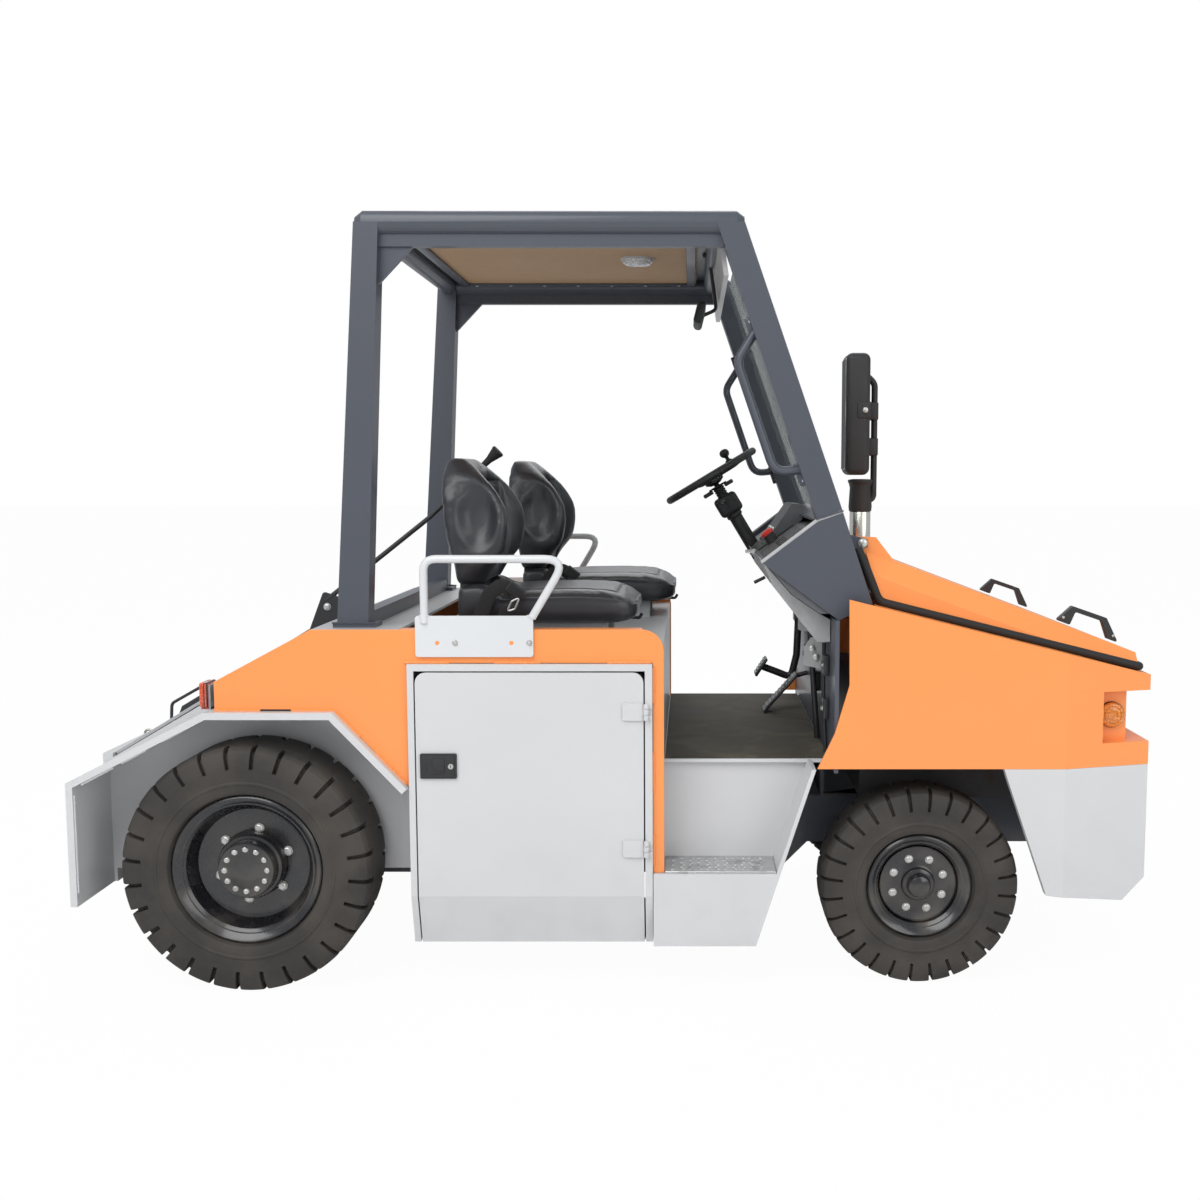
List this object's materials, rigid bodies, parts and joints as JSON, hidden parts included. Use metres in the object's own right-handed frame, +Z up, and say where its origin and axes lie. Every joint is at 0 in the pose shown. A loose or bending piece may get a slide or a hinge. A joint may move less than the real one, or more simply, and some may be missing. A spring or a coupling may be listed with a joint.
{
  "type": "electric tow tractor",
  "caption": "Open-cab electric tow tractor with a sloped orange hood, grey fenders and battery boxes, roofed two-seat cab and rear pin coupling.",
  "frame": {"origin": "bottom centre of the bounding box, on the ground", "axes": "+X forward, +Y to the vehicle's left, +Z up"},
  "size_m": [3.244, 1.442, 2.23],
  "materials": {
    "orange_paint": "satin light orange enamel",
    "silver_paint": "pale silver-grey enamel",
    "frame_paint": "dark blue-grey textured enamel",
    "deck_paint": "light grey enamel",
    "black_plastic": "fine-grained black plastic",
    "black_steel": "black enamel",
    "raw_steel": "dark cast and forged steel",
    "bright_tube": "smooth silver enamel",
    "polished_steel": "polished steel tube",
    "tread_plate": "checkered aluminium plate",
    "mat_rubber": "dark olive-brown rubber mat",
    "seal_rubber": "black rubber seal",
    "tyre_rubber": "dusty solid rubber",
    "rim_paint": "gloss near-black enamel",
    "seat_vinyl": "grained black seat vinyl",
    "dash_plastic": "grained grey plastic",
    "liner_board": "tan pressed board",
    "lamp_white": "clear moulded lens over a bright reflector",
    "lamp_amber": "amber moulded lens",
    "lamp_red": "orange-red moulded lens",
    "window_glass": "clear laminated glass"
  },
  "bodies": {
    "chassis": {"chassis_frame": "frame_paint", "rear_body": "silver_paint", "rear_side_panels": "orange_paint", "rear_deck": "deck_paint", "rear_grab_handle": "black_steel", "tow_coupling": "raw_steel", "release_lever": "black_steel", "tail_lamps": "lamp_red", "side_boxes": "silver_paint", "battery_pack": "raw_steel", "steps": "silver_paint", "step_treads": "tread_plate", "floor_deck": "silver_paint", "floor_mat": "mat_rubber", "front_body": "orange_paint", "front_bumper": "silver_paint", "headlamps": "lamp_white", "turn_lamps": "lamp_amber", "control_unit": "raw_steel", "cowl": "frame_paint", "dashboard": "dash_plastic", "steering_column": "black_plastic", "pedals": "black_steel", "cab_frame": "frame_paint", "roof_liner": "liner_board", "dome_lamp": "lamp_white", "windshield": "window_glass", "grab_handles": "black_steel", "inner_mirror": "black_plastic", "mirror_post": "polished_steel", "outer_mirror": "black_plastic", "seat_pedestal": "deck_paint", "seat_cushions": "seat_vinyl", "seat_backs": "seat_vinyl", "armrests": "bright_tube", "rear_axle": "raw_steel", "drive_motor": "raw_steel", "front_axle": "raw_steel"},
    "hood": {"hood": "orange_paint", "hood_seal": "seal_rubber", "hood_handles": "black_plastic"},
    "door_right": {"battery_door_right": "silver_paint", "door_latch_right": "black_plastic"},
    "door_left": {"battery_door_left": "silver_paint", "door_latch_left": "black_plastic"},
    "knuckle_right": {"knuckle_right": "raw_steel"},
    "knuckle_left": {"knuckle_left": "raw_steel"},
    "steering_wheel": {"steering_wheel": "black_plastic"},
    "wheel_front_right": {"rim_front_right": "rim_paint", "tyre_front_right": "tyre_rubber"},
    "wheel_front_left": {"rim_front_left": "rim_paint", "tyre_front_left": "tyre_rubber"},
    "wheel_rear_right": {"rim_rear_right": "rim_paint", "tyre_rear_right": "tyre_rubber"},
    "wheel_rear_left": {"rim_rear_left": "rim_paint", "tyre_rear_left": "tyre_rubber"}
  },
  "joints": [
    {"name": "hood_hinge", "type": "hinge", "parent": "chassis", "child": "hood", "pos_m": [0.791, 0, 1.295], "axis": [0, -1, 0], "range_deg": [0, 55]},
    {"name": "door_right_hinge", "type": "hinge", "parent": "chassis", "child": "door_right", "pos_m": [0.163, -0.713, 0.6], "axis": [0, 0, 1], "range_deg": [0, 110]},
    {"name": "door_left_hinge", "type": "hinge", "parent": "chassis", "child": "door_left", "pos_m": [0.163, 0.713, 0.6], "axis": [0, 0, -1], "range_deg": [0, 110]},
    {"name": "steer_left", "type": "hinge", "parent": "chassis", "child": "knuckle_left", "pos_m": [0.96, 0.51, 0.29], "axis": [0, 0, 1], "range_deg": [-32, 32]},
    {"name": "steer_right", "type": "hinge", "parent": "chassis", "child": "knuckle_right", "pos_m": [0.96, -0.51, 0.29], "axis": [0, 0, 1], "range_deg": [-32, 32]},
    {"name": "steering_wheel_turn", "type": "hinge", "parent": "chassis", "child": "steering_wheel", "pos_m": [0.363, 0.33, 1.49], "axis": [-0.515, 0, 0.8572], "range_deg": [-485, 485]},
    {"name": "wheel_front_right_spin", "type": "hinge", "parent": "knuckle_right", "child": "wheel_front_right", "pos_m": [0.96, -0.565, 0.29], "axis": [0, 1, 0], "continuous": true},
    {"name": "wheel_front_left_spin", "type": "hinge", "parent": "knuckle_left", "child": "wheel_front_left", "pos_m": [0.96, 0.565, 0.29], "axis": [0, 1, 0], "continuous": true},
    {"name": "wheel_rear_right_spin", "type": "hinge", "parent": "chassis", "child": "wheel_rear_right", "pos_m": [-0.99, -0.605, 0.36], "axis": [0, 1, 0], "continuous": true},
    {"name": "wheel_rear_left_spin", "type": "hinge", "parent": "chassis", "child": "wheel_rear_left", "pos_m": [-0.99, 0.605, 0.36], "axis": [0, 1, 0], "continuous": true}
  ],
  "couplings": [
    {"joint": "steer_right", "follows": "steer_left", "ratio": 1},
    {"joint": "steering_wheel_turn", "follows": "steer_left", "ratio": 15}
  ]
}
